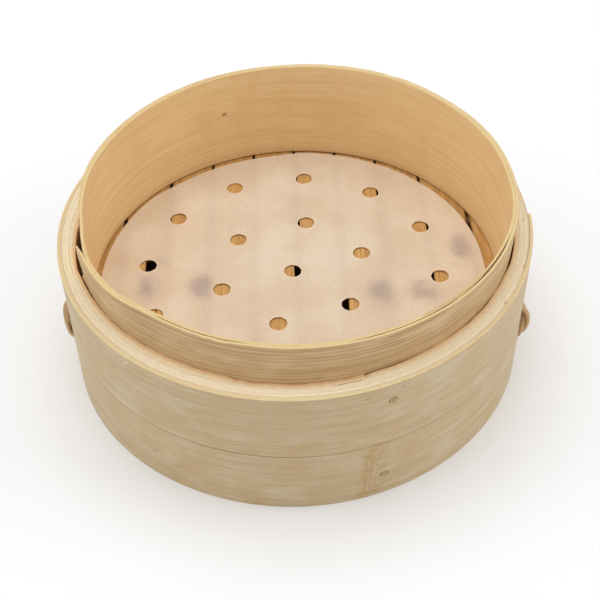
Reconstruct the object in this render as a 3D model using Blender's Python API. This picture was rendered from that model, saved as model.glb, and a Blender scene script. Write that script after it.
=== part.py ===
"""A small bamboo steamer basket: lapped hoops, a slatted floor and a paper liner.

Units are metres, +Z is up. The origin is the middle of the wall's bottom edge.
The floor slats run along Y and the two battens below them run along X.
"""
import math

import bmesh
import bpy
from mathutils import Matrix, Vector

# Driving dimensions
OUTER_RADIUS = 0.0760
LEDGE_HEIGHT = 0.0494
RIM_HEIGHT = 0.0620
SEAM_HEIGHT = 0.0242
CLEARANCE = 0.0003

# Wall layers, as inner and outer radius
SKIN = (0.0746, OUTER_RADIUS)
CORE_OUTER = (0.0733, 0.0743)
CORE_INNER = (0.0719, 0.0730)
LINING = (0.0699, 0.0716)
COLLAR_OUTER = (0.0685, 0.0694)
COLLAR_INNER = (0.0674, 0.0682)

# Slatted floor
SLAT_TOP = 0.0252
SLAT_THICKNESS = 0.0022
SLAT_PITCH = 0.0152
SLAT_ROW_CENTRE = 0.0008
WHOLE_SLATS = 8
SLAT_GAP_AT_ENDS = 0.0014
SLAT_WAIST = 0.0010
FLOOR_RADIUS = 0.0713
BATTEN_OFFSET = 0.030
BATTEN_WIDTH = 0.0060
BATTEN_DEPTH = 0.0038

# Stitches through the wall, a little in front of the two sides
STITCH_ANGLES = {"stitch_left": 191.0, "stitch_right": -17.0}
STITCH_WIDTH = 0.0030
STITCH_THICKNESS = 0.0010
STITCH_LOW = 0.0138
STITCH_HIGH = 0.0292
STITCH_INNER_RADIUS = 0.0702
STITCH_BULGE = 0.0029

# Bamboo pegs: bearing, height and the radius of the inner end
PEG_RADIUS = 0.0012
PEGS = {
    "peg_upper_front": (-69.7, 0.0425, 0.0675),
    "peg_upper_rear": (110.3, 0.0465, 0.0675),
    "peg_lower_front": (-70.8, 0.0093, 0.0700),
    "peg_lower_rear": (109.2, 0.0093, 0.0700),
}

# Paper liner
LINER_RADIUS = 0.0648
LINER_THICKNESS = 0.0005
LINER_OFFSET = (-0.0012, 0.0008)
HOLE_RADIUS = 0.0030
HOLE_RINGS = ((0.0495, 12, 24.0), (0.0250, 6, 18.0), (0.0, 1, 0.0))

# Strip ends, and the resolution of round shapes
FIRST_TIP = 0.00025
LAP_GAP = 0.00015
STRIP_END_GAP_DEG = 0.25
HOOP_STEP_DEG = 5.0
PEG_SIDES = 12
LINER_SIDES = 72
HOLE_SIDES = 14

# Material name: (base colour, roughness)
MATERIALS = {
    "bamboo_skin": ((0.56, 0.45, 0.29), 0.55),
    "bamboo_core": ((0.76, 0.66, 0.47), 0.65),
    "bamboo_lining": ((0.68, 0.48, 0.26), 0.60),
    "bamboo_collar": ((0.66, 0.46, 0.24), 0.50),
    "bamboo_slat": ((0.60, 0.38, 0.14), 0.60),
    "bamboo_batten": ((0.58, 0.42, 0.22), 0.65),
    "bamboo_peg": ((0.36, 0.25, 0.13), 0.70),
    "cane_stitch": ((0.36, 0.24, 0.13), 0.55),
    "liner_paper": ((0.84, 0.70, 0.58), 0.90),
}


def clear_scene():
    for obj in list(bpy.data.objects):
        bpy.data.objects.remove(obj, do_unlink=True)


def material(name):
    existing = bpy.data.materials.get(name)
    if existing:
        return existing
    colour, roughness = MATERIALS[name]
    made = bpy.data.materials.new(name)
    made.use_nodes = True
    shader = made.node_tree.nodes["Principled BSDF"]
    shader.inputs["Base Color"].default_value = (*colour, 1.0)
    shader.inputs["Roughness"].default_value = roughness
    shader.inputs["Metallic"].default_value = 0.0
    return made


def make_object(name, bm, material_name=None, smooth=False):
    """Turn a bmesh into a named object in the scene."""
    bmesh.ops.recalc_face_normals(bm, faces=bm.faces)
    mesh = bpy.data.meshes.new(name)
    bm.to_mesh(mesh)
    bm.free()
    obj = bpy.data.objects.new(name, mesh)
    bpy.context.scene.collection.objects.link(obj)
    if material_name:
        mesh.materials.append(material(material_name))
    if smooth:
        mesh.shade_smooth()
        mesh.set_sharp_from_angle(angle=math.radians(35))
    return obj


def make_cutter(name, bm):
    cutter = make_object(name, bm)
    cutter.hide_render = True
    cutter.display_type = "WIRE"
    return cutter


def cut(obj, cutter):
    modifier = obj.modifiers.new("cut_" + cutter.name, "BOOLEAN")
    modifier.operation = "DIFFERENCE"
    modifier.solver = "EXACT"
    modifier.object = cutter


def polar(radius, angle_deg, z):
    angle = math.radians(angle_deg)
    return Vector((radius * math.cos(angle), radius * math.sin(angle), z))


def add_box(bm, size, matrix):
    """A box of the given size whose middle is at the matrix's origin."""
    scaled = matrix @ Matrix.Diagonal((*size, 1.0))
    bmesh.ops.create_cube(bm, size=1.0, matrix=scaled)


def at_bearing(angle_deg, radius, z):
    """A frame at a bearing: its X points outwards and its Z points up."""
    turn = Matrix.Rotation(math.radians(angle_deg), 4, "Z")
    return turn @ Matrix.Translation((radius, 0.0, z))


# ---------------------------------------------------------------- hoops

def lap_sections(layer, lap, last_tip, recovery):
    """Sections of a strip lapped over itself: degrees turned, inner and outer radius.

    The strip's first end is thin and lies inside. Just before a full turn the
    strip steps outwards, and its last end passes over the first one with a
    small gap. Past the last end's tip the strip thickens over the recovery.
    """
    inner, outer = layer
    thickness = outer - inner
    under_tip = thickness - LAP_GAP - last_tip

    def first_end_outside(turned):
        if turned <= lap:
            return inner + FIRST_TIP + (under_tip - FIRST_TIP) * turned / lap
        return inner + min(thickness, under_tip + (thickness - under_tip) * (turned - lap) / recovery)

    sections = []
    for i in range(round(360.0 / HOOP_STEP_DEG)):
        turned = i * HOOP_STEP_DEG
        sections.append((turned, inner, first_end_outside(turned)))
    sections.append((360.0 - STRIP_END_GAP_DEG, inner, outer))
    lap_steps = math.ceil(lap / HOOP_STEP_DEG)
    for i in range(lap_steps + 1):
        turned = lap * i / lap_steps
        sections.append((360.0 + turned, first_end_outside(turned) + LAP_GAP, outer))
    return sections


def open_sections(layer, opening, taper):
    """Sections of a strip whose ends don't meet; its last end tapers outside."""
    inner, outer = layer
    span = 360.0 - opening
    steps = round(span / HOOP_STEP_DEG)
    sections = []
    for i in range(steps + 1):
        turned = span * i / steps
        left = min(1.0, (span - turned) / taper)
        sections.append((turned, inner, inner + FIRST_TIP + (outer - inner - FIRST_TIP) * left))
    return sections


def bent_strip(name, material_name, z_span, bearing, sections):
    """A bamboo strip bent round the vertical axis, starting at a bearing."""
    z_low, z_high = z_span
    bm = bmesh.new()
    loops = []
    for turned, inner, outer in sections:
        angle = bearing + turned
        corners = ((inner, z_low), (outer, z_low), (outer, z_high), (inner, z_high))
        loops.append([bm.verts.new(polar(r, angle, z)) for r, z in corners])
    for first, second in zip(loops, loops[1:]):
        for k in range(4):
            j = (k + 1) % 4
            bm.faces.new((first[k], first[j], second[j], second[k]))
    bm.faces.new(loops[0][::-1])
    bm.faces.new(loops[-1])
    return make_object(name, bm, material_name, smooth=True)


def make_hoops():
    """The six wall strips and the two collar strips.

    Each lapped one has its first end's bearing, the lap and the recovery in
    degrees, and the thickness of its last end's tip.
    """
    slat_bottom = SLAT_TOP - SLAT_THICKNESS
    wall = (0.0, LEDGE_HEIGHT)
    upper_skin = (SEAM_HEIGHT + CLEARANCE / 2, LEDGE_HEIGHT)
    lower_skin = (0.0, SEAM_HEIGHT - CLEARANCE / 2)
    upper_lining = (SLAT_TOP + CLEARANCE, LEDGE_HEIGHT)
    lower_lining = (0.0, slat_bottom - CLEARANCE)
    collar = (SLAT_TOP + CLEARANCE, RIM_HEIGHT)
    lapped = (
        ("skin_hoop_upper", "bamboo_skin", SKIN, upper_skin, -20.0, 19.0, 90.0, 0.0009),
        ("skin_hoop_lower", "bamboo_skin", SKIN, lower_skin, 120.0, 20.0, 30.0, 0.0004),
        ("core_hoop_outer", "bamboo_core", CORE_OUTER, wall, -3.0, 12.0, 15.0, 0.00025),
        ("core_hoop_inner", "bamboo_core", CORE_INNER, wall, 95.0, 15.0, 15.0, 0.00025),
        ("lining_hoop_upper", "bamboo_lining", LINING, upper_lining, -75.0, 13.0, 12.0, 0.0005),
        ("lining_hoop_lower", "bamboo_lining", LINING, lower_lining, 80.0, 15.0, 15.0, 0.0005),
        ("collar_hoop_inner", "bamboo_collar", COLLAR_INNER, collar, -60.0, 20.0, 20.0, 0.00025),
    )
    hoops = {}
    for name, material_name, layer, z_span, bearing, lap, recovery, last_tip in lapped:
        sections = lap_sections(layer, lap, last_tip, recovery)
        hoops[name] = bent_strip(name, material_name, z_span, bearing, sections)
    sections = open_sections(COLLAR_OUTER, opening=10.0, taper=20.0)
    name = "collar_hoop_outer"
    hoops[name] = bent_strip(name, "bamboo_collar", collar, 199.5, sections)
    return hoops


# ---------------------------------------------------------------- floor

def circle_reach(radius, x):
    return math.sqrt(max(radius * radius - x * x, 0.0))


def slat_outline(x_low, x_high):
    """A slat's plan: a slim waist along its sides and its ends cut to the wall."""
    side_points = 7
    end_points = 4

    def side(x_edge, inwards):
        reach = circle_reach(FLOOR_RADIUS, x_edge)
        points = []
        for i in range(side_points):
            y = -reach + 2.0 * reach * i / (side_points - 1)
            waist = SLAT_WAIST * (1.0 - (y / reach) ** 2)
            points.append((x_edge + inwards * waist, y))
        return points

    right = side(x_high, -1.0)
    left = side(x_low, 1.0)[::-1]
    outline = list(right)
    for i in range(1, end_points):
        x = x_high + (x_low - x_high) * i / end_points
        outline.append((x, circle_reach(FLOOR_RADIUS, x)))
    outline += left
    for i in range(1, end_points):
        x = x_low + (x_high - x_low) * i / end_points
        outline.append((x, -circle_reach(FLOOR_RADIUS, x)))
    return outline


def edge_slat_outline(x_edge, side):
    """The outermost slats are segments of the floor's circle."""
    arc_points = 10
    reach = circle_reach(FLOOR_RADIUS, x_edge)
    half_angle = math.atan2(reach, abs(x_edge))
    outline = []
    for i in range(arc_points + 1):
        angle = -half_angle + 2.0 * half_angle * i / arc_points
        outline.append((side * FLOOR_RADIUS * math.cos(angle), side * FLOOR_RADIUS * math.sin(angle)))
    return outline


def extruded_plate(name, material_name, outline, z_low, thickness):
    bm = bmesh.new()
    corners = [bm.verts.new((x, y, z_low)) for x, y in outline]
    face = bm.faces.new(corners)
    top = bmesh.ops.extrude_face_region(bm, geom=[face])["geom"]
    moved = [v for v in top if isinstance(v, bmesh.types.BMVert)]
    bmesh.ops.translate(bm, verts=moved, vec=(0.0, 0.0, thickness))
    return make_object(name, bm, material_name)


def make_slats():
    z_low = SLAT_TOP - SLAT_THICKNESS
    half_gap = SLAT_GAP_AT_ENDS / 2
    first_gap = SLAT_ROW_CENTRE - SLAT_PITCH * WHOLE_SLATS / 2
    slats = {}
    for i in range(WHOLE_SLATS):
        x_low = first_gap + SLAT_PITCH * i + half_gap
        x_high = first_gap + SLAT_PITCH * (i + 1) - half_gap
        name = f"floor_slat_{i + 2:02d}"
        slats[name] = extruded_plate(name, "bamboo_slat", slat_outline(x_low, x_high), z_low, SLAT_THICKNESS)
    ends = (
        ("floor_slat_01", first_gap - half_gap, -1.0),
        (f"floor_slat_{WHOLE_SLATS + 2:02d}", first_gap + SLAT_PITCH * WHOLE_SLATS + half_gap, 1.0),
    )
    for name, x_edge, side in ends:
        outline = edge_slat_outline(x_edge, side)
        slats[name] = extruded_plate(name, "bamboo_slat", outline, z_low, SLAT_THICKNESS)
    return slats


def make_battens(lower_lining):
    """Two bars under the slats, their ends let into notches in the lining."""
    z_top = SLAT_TOP - SLAT_THICKNESS - CLEARANCE
    length = 2.0 * circle_reach(FLOOR_RADIUS, BATTEN_OFFSET + BATTEN_WIDTH / 2)
    for name, y in (("batten_front", -BATTEN_OFFSET), ("batten_rear", BATTEN_OFFSET)):
        bm = bmesh.new()
        middle = Matrix.Translation((0.0, y, z_top - BATTEN_DEPTH / 2))
        add_box(bm, (length, BATTEN_WIDTH, BATTEN_DEPTH), middle)
        batten = make_object(name, bm, "bamboo_batten")
        bevel = batten.modifiers.new("worn_edges", "BEVEL")
        bevel.width = 0.0005
        bevel.segments = 1
        bm = bmesh.new()
        notch_depth = BATTEN_DEPTH + CLEARANCE
        notch = (0.2, BATTEN_WIDTH + 2 * CLEARANCE, 2 * notch_depth)
        add_box(bm, notch, Matrix.Translation((0.0, y, z_top)))
        cut(lower_lining, make_cutter(name + "_notch", bm))


# ---------------------------------------------------------------- stitches

def stitch_path():
    """The stitch's middle line as radius and height, once round."""
    half = STITCH_THICKNESS / 2
    inner = STITCH_INNER_RADIUS + half
    low = STITCH_LOW + half
    high = STITCH_HIGH - half
    middle = (low + high) / 2
    points = [(inner, low), (inner, middle), (inner, high)]
    bulge_steps = 8
    wall = OUTER_RADIUS + 0.0005
    for i in range(bulge_steps + 1):
        swing = math.pi * i / bulge_steps
        radius = wall + (STITCH_BULGE - half - 0.0005) * math.sin(swing) ** 0.6
        points.append((radius, middle + (high - middle) * math.cos(swing)))
    return points


def make_stitch(name, angle_deg):
    """A flat strip of cane that goes through the wall and closes on itself."""
    path = stitch_path()
    count = len(path)
    half_thick = STITCH_THICKNESS / 2
    half_wide = STITCH_WIDTH / 2
    bm = bmesh.new()
    loops = []
    for i, (radius, z) in enumerate(path):
        ahead = Vector(path[(i + 1) % count])
        behind = Vector(path[i - 1])
        here = Vector((radius, z))
        into = (here - behind).normalized()
        out_of = (ahead - here).normalized()
        normal = Vector((into.y + out_of.y, -into.x - out_of.x)).normalized()
        reach = half_thick / max(normal.dot(Vector((into.y, -into.x))), 0.5)
        loop = []
        for along, across in ((-1, -1), (1, -1), (1, 1), (-1, 1)):
            spot = here + normal * reach * along
            loop.append(bm.verts.new((spot.x, half_wide * across, spot.y)))
        loops.append(loop)
    for i in range(count):
        first = loops[i]
        second = loops[(i + 1) % count]
        for k in range(4):
            j = (k + 1) % 4
            bm.faces.new((first[k], first[j], second[j], second[k]))
    bmesh.ops.rotate(bm, verts=bm.verts, matrix=Matrix.Rotation(math.radians(angle_deg), 3, "Z"))
    return make_object(name, bm, "cane_stitch", smooth=True)


def make_stitch_passage(name, angle_deg):
    """The two slits and the groove that a stitch needs, as one bracket shape."""
    thick = STITCH_THICKNESS + 2 * CLEARANCE
    groove_in = STITCH_INNER_RADIUS - 0.0006
    groove_out = STITCH_INNER_RADIUS + STITCH_THICKNESS + CLEARANCE
    slit_out = OUTER_RADIUS + 0.001
    low = STITCH_LOW - CLEARANCE
    high = STITCH_HIGH + CLEARANCE
    outline = (
        (slit_out, low), (groove_in, low), (groove_in, high), (slit_out, high),
        (slit_out, high - thick), (groove_out, high - thick), (groove_out, low + thick), (slit_out, low + thick),
    )
    half_wide = STITCH_WIDTH / 2 + CLEARANCE
    bm = bmesh.new()
    face = bm.faces.new([bm.verts.new((r, -half_wide, z)) for r, z in outline])
    grown = bmesh.ops.extrude_face_region(bm, geom=[face])["geom"]
    moved = [v for v in grown if isinstance(v, bmesh.types.BMVert)]
    bmesh.ops.translate(bm, verts=moved, vec=(0.0, 2 * half_wide, 0.0))
    bmesh.ops.rotate(bm, verts=bm.verts, matrix=Matrix.Rotation(math.radians(angle_deg), 3, "Z"))
    return make_cutter(name, bm)


# ---------------------------------------------------------------- pegs

def peg_mesh(angle_deg, z, inner_radius, outer_radius, radius):
    bm = bmesh.new()
    length = outer_radius - inner_radius
    lie_down = Matrix.Rotation(math.pi / 2, 4, "Y")
    matrix = at_bearing(angle_deg, inner_radius + length / 2, z) @ lie_down
    bmesh.ops.create_cone(
        bm, cap_ends=True, segments=PEG_SIDES, radius1=radius, radius2=radius, depth=length, matrix=matrix)
    return bm


def make_pegs(hoops):
    """Pegs that pin the layers; the upper ones reach the collar too."""
    for name, (angle, z, inner) in PEGS.items():
        bm = peg_mesh(angle, z, inner, OUTER_RADIUS, PEG_RADIUS)
        make_object(name, bm, "bamboo_peg", smooth=True)
        bore = peg_mesh(angle, z, inner - 0.001, OUTER_RADIUS + 0.001, PEG_RADIUS + CLEARANCE)
        cutter = make_cutter(name + "_bore", bore)
        upper = z > SEAM_HEIGHT
        level = "upper" if upper else "lower"
        pinned = [f"skin_hoop_{level}", "core_hoop_outer", "core_hoop_inner", f"lining_hoop_{level}"]
        if upper:
            pinned += ["collar_hoop_outer", "collar_hoop_inner"]
        for hoop in pinned:
            cut(hoops[hoop], cutter)


# ---------------------------------------------------------------- liner

def make_liner():
    """A round paper sheet with rings of punched holes, on the slats."""
    z_low = SLAT_TOP + CLEARANCE
    bm = bmesh.new()
    middle = Matrix.Translation((*LINER_OFFSET, z_low + LINER_THICKNESS / 2))
    bmesh.ops.create_cone(
        bm, cap_ends=True, segments=LINER_SIDES, radius1=LINER_RADIUS, radius2=LINER_RADIUS,
        depth=LINER_THICKNESS, matrix=middle)
    liner = make_object("paper_liner", bm, "liner_paper")
    bm = bmesh.new()
    for ring_radius, count, first_deg in HOLE_RINGS:
        for i in range(count):
            spot = polar(ring_radius, first_deg + 360.0 * i / count, 0.0)
            bmesh.ops.create_cone(
                bm, cap_ends=True, segments=HOLE_SIDES, radius1=HOLE_RADIUS, radius2=HOLE_RADIUS,
                depth=4 * LINER_THICKNESS, matrix=middle @ Matrix.Translation(spot))
    cut(liner, make_cutter("liner_punch", bm))


def main():
    clear_scene()
    hoops = make_hoops()
    slats = make_slats()
    make_battens(hoops["lining_hoop_lower"])
    pierced = [hoop for name, hoop in hoops.items() if not name.startswith("collar")]
    edge_slats = {"stitch_left": slats["floor_slat_01"], "stitch_right": slats["floor_slat_10"]}
    for name, angle in STITCH_ANGLES.items():
        make_stitch(name, angle)
        passage = make_stitch_passage(name + "_passage", angle)
        for obj in pierced + [edge_slats[name]]:
            cut(obj, passage)
    make_pegs(hoops)
    make_liner()


main()
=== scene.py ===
"""Looks for a bamboo steamer basket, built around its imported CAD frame.

Every CAD node is replaced by a fine mesh in the same place: worn bamboo strips with raised
fibres and sawn edges, planed slats, pegs with end grain, wound cane and a sheet of paper.
Lengths are in metres. Bearings are in degrees round +Z from +X, so -90 is the front.
"""

import math

import bpy
import numpy as np
from mathutils import Matrix, Vector, geometry


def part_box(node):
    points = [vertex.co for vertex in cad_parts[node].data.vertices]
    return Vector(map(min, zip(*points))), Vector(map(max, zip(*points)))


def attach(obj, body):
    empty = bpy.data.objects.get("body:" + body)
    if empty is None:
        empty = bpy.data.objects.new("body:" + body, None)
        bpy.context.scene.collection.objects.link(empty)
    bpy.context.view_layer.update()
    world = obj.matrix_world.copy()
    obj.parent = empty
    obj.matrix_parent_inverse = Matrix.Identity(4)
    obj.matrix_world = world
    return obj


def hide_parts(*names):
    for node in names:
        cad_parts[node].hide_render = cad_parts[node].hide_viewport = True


MM = 0.001

# Each piece has its own stretch of the wood's pattern, this far from the last piece's
WOOD_STEP = (0.9, 0.37, 0.0)

# The strips' laps as in the CAD model: bearing of the first end, lap and recovery in degrees, last tip
LAPS = {
    "skin_hoop_upper": (-20.0, 19.0, 90.0, 0.90 * MM),
    "skin_hoop_lower": (120.0, 20.0, 30.0, 0.40 * MM),
    "core_hoop_outer": (-3.0, 12.0, 15.0, 0.25 * MM),
    "core_hoop_inner": (95.0, 15.0, 15.0, 0.25 * MM),
    "lining_hoop_lower": (80.0, 15.0, 15.0, 0.50 * MM),
    "collar_hoop_inner": (-60.0, 20.0, 20.0, 0.25 * MM),
}

# A first end's tip, the gap inside a lap, and the degrees in which a strip steps over its first end
FIRST_TIP = 0.25 * MM
LAP_GAP = 0.06 * MM
STEP_OVER = 1.2

# Pegs: bearing in degrees, height, and half the width and height of the oval end
PEGS = {
    "peg_upper_front": (-69.7, 42.5 * MM, 1.35 * MM, 1.0 * MM),
    "peg_upper_rear": (111.3, 46.5 * MM, 0.918 * MM, 0.68 * MM),
    "peg_lower_front": (-70.8, 9.3 * MM, 1.35 * MM, 1.0 * MM),
    "peg_lower_rear": (109.2, 9.3 * MM, 1.35 * MM, 1.0 * MM),
}

# Stitches: bearing in degrees, and how far the low end, the high end and the outermost strand
# are from the CAD model's
STITCHES = {"stitch_left": 191.0, "stitch_right": -17.0}
STITCH_SHIFTS = {
    "stitch_left": (1.0 * MM, 1.1 * MM, -0.7 * MM),
    "stitch_right": (1.4 * MM, -0.1 * MM, 0.0),
}

# How the worn collar has moved: its rim leans right and back, and its outer strip has a sprung end
COLLAR_LEAN = (1.4 * MM, 1.2 * MM)
SPRUNG_BEARING = 199.5

# Half of the slits' width, and half of the gap at the seam
SLIT_HALF_WIDTH = 1.8 * MM
SEAM_HALF = 0.05 * MM

# Where the collar's rim is out of round: from and to a bearing, fade in degrees, how far inwards
COLLAR_DENTS = ((8.0, 38.0, 25.0, 1.0 * MM), (208.0, 215.0, 20.0, -2.0 * MM))

# How far the wall's inner layers are pushed out before the sprung end
WALL_BULGE = 1.1 * MM

# How far the wall's foot is out of line with its ledge
FOOT_LEAN = (-0.6 * MM, -0.7 * MM)


# ---------------------------------------------------------------- small maths

def swell(x, period, seed):
    """Smooth noise along x, from -1 to 1, that turns about once in each period."""
    table = np.random.default_rng(seed).uniform(-1.0, 1.0, 4096)
    place = np.asarray(x, float) / period + 1000.0
    cell = np.floor(place).astype(int)
    part = place - cell
    part = part * part * (3.0 - 2.0 * part)
    return table[cell % 4096] * (1.0 - part) + table[(cell + 1) % 4096] * part


def grain(x, y, period_x, period_y, seed):
    """Smooth noise over two directions, from -1 to 1."""
    table = np.random.default_rng(seed).uniform(-1.0, 1.0, (512, 512))
    place_x = np.asarray(x, float) / period_x + 1000.0
    place_y = np.asarray(y, float) / period_y + 1000.0
    i = np.floor(place_x).astype(int)
    j = np.floor(place_y).astype(int)
    u = place_x - i
    v = place_y - j
    u = u * u * (3.0 - 2.0 * u)
    v = v * v * (3.0 - 2.0 * v)
    low = table[i % 512, j % 512] * (1.0 - u) + table[(i + 1) % 512, j % 512] * u
    high = table[i % 512, (j + 1) % 512] * (1.0 - u) + table[(i + 1) % 512, (j + 1) % 512] * u
    return low * (1.0 - v) + high * v


def ease(x, start, end):
    """0 before start, 1 after end, and a smooth rise between them."""
    part = np.clip((np.asarray(x, float) - start) / (end - start), 0.0, 1.0)
    return part * part * (3.0 - 2.0 * part)


def bump(x, start, end, fade):
    """1 between start and end, and a smooth fall to 0 outside them."""
    return ease(x, start - fade, start) * (1.0 - ease(x, end, end + fade))


def turn_from(bearing, start):
    """Degrees from start to bearing, between -180 and 180."""
    return (np.asarray(bearing, float) - start + 180.0) % 360.0 - 180.0


def on_arc(bearing, start, end, fade):
    """bump() for bearings, on the arc from start to end."""
    middle = (start + end) / 2.0
    half = (end - start) / 2.0
    return bump(turn_from(bearing, middle), -half, half, fade)


def with_lines(lines, centre, half, cells, clear):
    """Grid lines with a group of evenly spaced ones put in around a centre, for a hole or a groove."""
    kept = [x for x in lines if abs(x - centre) > half + clear or x in (lines[0], lines[-1])]
    added = [centre + half * (2.0 * i / cells - 1.0) for i in range(cells + 1)]
    added = [x for x in added if lines[0] < x < lines[-1]]
    return sorted(set(kept + added))


# ---------------------------------------------------------------- strips of bamboo

# How finely a strip's rounded corners and its edges are divided
CORNER_STEPS = 3
EDGE_CELLS = 4


def section_columns(rows):
    """The points round a strip's section, as columns of numbers.

    They run up the outer face, over the upper edge, down the inner face and
    back under the lower edge. side is 1 outside and 0 inside. end is 1 for
    points that follow the upper edge, -1 for the lower edge and 0 for rows.
    inset and rise are in corner radii. out and up are the surface's direction.
    """
    columns = []
    last = len(rows) - 1

    def add(side, end, row, inset, rise, out, up, cut):
        columns.append((side, end, row, inset, rise, out, up, cut))

    def corner(side, end, first_deg):
        for i in range(1, CORNER_STEPS):
            angle = math.radians(first_deg + 90.0 * i / CORNER_STEPS)
            across = math.cos(angle)
            up = math.sin(angle)
            add(side, end, 0.0, across - 1.0 if side else across + 1.0, up - end, across, up, abs(up))

    def edge(end, first_side):
        for i in range(EDGE_CELLS + 1):
            part = i / EDGE_CELLS
            side = 1.0 - part if first_side else part
            add(side, end, 0.0, 1.0 - 2.0 * side, 0.0, 0.0, end, 1.0)

    def face(side):
        order = range(last + 1) if side else range(last, -1, -1)
        for i in order:
            end = -1.0 if i == 0 else 1.0 if i == last else 0.0
            add(side, end, rows[i], 0.0, -end, 1.0 if side else -1.0, 0.0, 0.0)

    face(1.0)
    corner(1.0, 1.0, 0.0)
    edge(1.0, True)
    corner(0.0, 1.0, 90.0)
    face(0.0)
    corner(0.0, -1.0, 180.0)
    edge(-1.0, False)
    corner(1.0, -1.0, 270.0)
    return np.array(columns).T


class Strip:
    """A strip as a grid: stations along its fibres, and points round its section.

    along, across and depth are the points' own coordinates in metres. depth
    grows outwards, and along x across points the same way.
    """

    def __init__(self, stations, rows, low, high, inner, outer, corner):
        self.stations = np.array(stations, float)
        self.rows = list(rows)
        self.holes = []
        side, end, row, inset, rise, out, up, cut = section_columns(rows)
        count = len(self.stations)

        def tall(values):
            return np.broadcast_to(np.asarray(values, float), (count,))[:, None]

        thick = tall(outer) - tall(inner)
        radius = np.minimum(corner, 0.3 * thick)
        radius[0] = np.minimum(2.0 * corner, 0.42 * thick[0])
        radius[-1] = np.minimum(2.0 * corner, 0.42 * thick[-1])
        middle = (rows[0] + rows[-1]) / 2.0
        reach = (rows[-1] - rows[0]) / 2.0
        pull = ((row - middle) / reach) ** 5
        edge_up = tall(high) - rows[-1]
        edge_down = tall(low) - rows[0]
        self.side = side
        self.end = end
        self.out = out
        self.up = up
        self.upper_edge = np.where(end > 0, 1.0, 0.0)
        self.along = np.repeat(self.stations[:, None], len(side), axis=1)
        between = row + np.where(pull > 0, pull * edge_up, -pull * edge_down)
        self.across = np.where(end > 0, tall(high), np.where(end < 0, tall(low), between))
        self.across = self.across + rise * radius
        self.depth = tall(inner) + side * thick + inset * radius
        full = float(thick.max())
        on_edge = (cut > 0) | (out == 0)
        inner_face = 2.0 * rows[-1] + full - row
        edge_line = np.where(end > 0, rows[-1] + full * (1.0 - side), rows[0] - full * (1.0 - side))
        around = np.where(on_edge, edge_line, np.where(side > 0.5, row, inner_face))
        self.around = np.repeat(around[None, :], count, axis=0)
        self.cut = np.repeat(cut[None, :], count, axis=0)
        self.rind = (self.depth - float(tall(inner).min())) / full
        self.knot = np.zeros_like(self.cut)

    def inner_column(self, row):
        count = len(self.rows)
        first_inner = count + 2 * (CORNER_STEPS - 1) + EDGE_CELLS + 1
        return first_inner + count - 1 - row

    def relief(self, depth, seed, fine=0.9 * MM, wide=2.6 * MM):
        """Raise and sink the surface along its fibres."""
        lines = grain(self.along, self.around, 120 * MM, fine, seed)
        bands = grain(self.along, self.around, 60 * MM, wide, seed + 1)
        push = depth * (0.5 * lines + 0.5 * bands)
        self.depth += push * self.out
        self.across += push * self.up

    def ragged_end(self, last, size, reach, seed, pitch=0.8 * MM):
        """Tear an end: its points move along by a ragged amount that fades along the strip."""
        place = self.along[-1, 0] - self.along if last else self.along - self.along[0, 0]
        fade = np.exp(-place / reach)
        tear = 0.6 * swell(self.across, 3.0 * pitch, seed) + 0.4 * swell(self.across, pitch, seed + 1)
        self.along += size * tear * fade

    def punch(self, centre, height, half_width, half_height, rounded=True):
        """Open a hole through both faces, on grid lines made for it by with_lines()."""
        slack = 0.01 * MM
        stations = np.flatnonzero(np.abs(self.stations - centre) < half_width + slack)
        rows = np.flatnonzero(np.abs(np.array(self.rows) - height) < half_height + slack)
        k0, k1 = stations[0], stations[-1]
        j0, j1 = rows[0], rows[-1]
        ring = [(k, j0) for k in range(k0, k1)] + [(k1, j) for j in range(j0, j1)]
        ring += [(k, j1) for k in range(k1, k0, -1)] + [(k0, j) for j in range(j1, j0, -1)]
        if rounded:
            for k, j in ring:
                aside = (self.stations[k] - centre) / half_width
                above = (self.rows[j] - height) / half_height
                stretch = 1.12 / math.hypot(aside, above)
                for column in (j, self.inner_column(j)):
                    self.along[k, column] = centre + half_width * aside * stretch
                    self.across[k, column] = height + half_height * above * stretch
        self.holes.append((k0, k1, j0, j1, ring))

    def faces(self):
        """The grid's quads, its end caps and its holes' walls, as a list of point numbers."""
        count, width = self.along.shape
        number = np.arange(count * width).reshape(count, width)
        shown = np.ones((count - 1, width), bool)
        walls = []
        for k0, k1, j0, j1, ring in self.holes:
            shown[k0:k1, j0:j1] = False
            shown[k0:k1, self.inner_column(j1):self.inner_column(j0)] = False
            for (ka, ja), (kb, jb) in zip(ring, ring[1:] + ring[:1]):
                walls.append((number[ka, ja], number[kb, jb],
                              number[kb, self.inner_column(jb)], number[ka, self.inner_column(ja)]))
        beside = np.roll(number, -1, axis=1)
        quads = np.stack([number[:-1], number[1:], beside[1:], beside[:-1]], axis=-1)[shown]
        caps = []
        last = len(self.rows) - 1
        for k, order in ((0, 1), (count - 1, -1)):
            for j in range(last):
                cap = (number[k, j], number[k, j + 1],
                       number[k, self.inner_column(j + 1)], number[k, self.inner_column(j)])
                caps.append(cap[::order])
            top = number[k, last:self.inner_column(last) + 1]
            bottom = np.append(number[k, self.inner_column(0):], number[k, 0])
            caps.append(tuple(top[::order]))
            caps.append(tuple(bottom[::order]))
        return quads.tolist() + walls + caps


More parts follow.
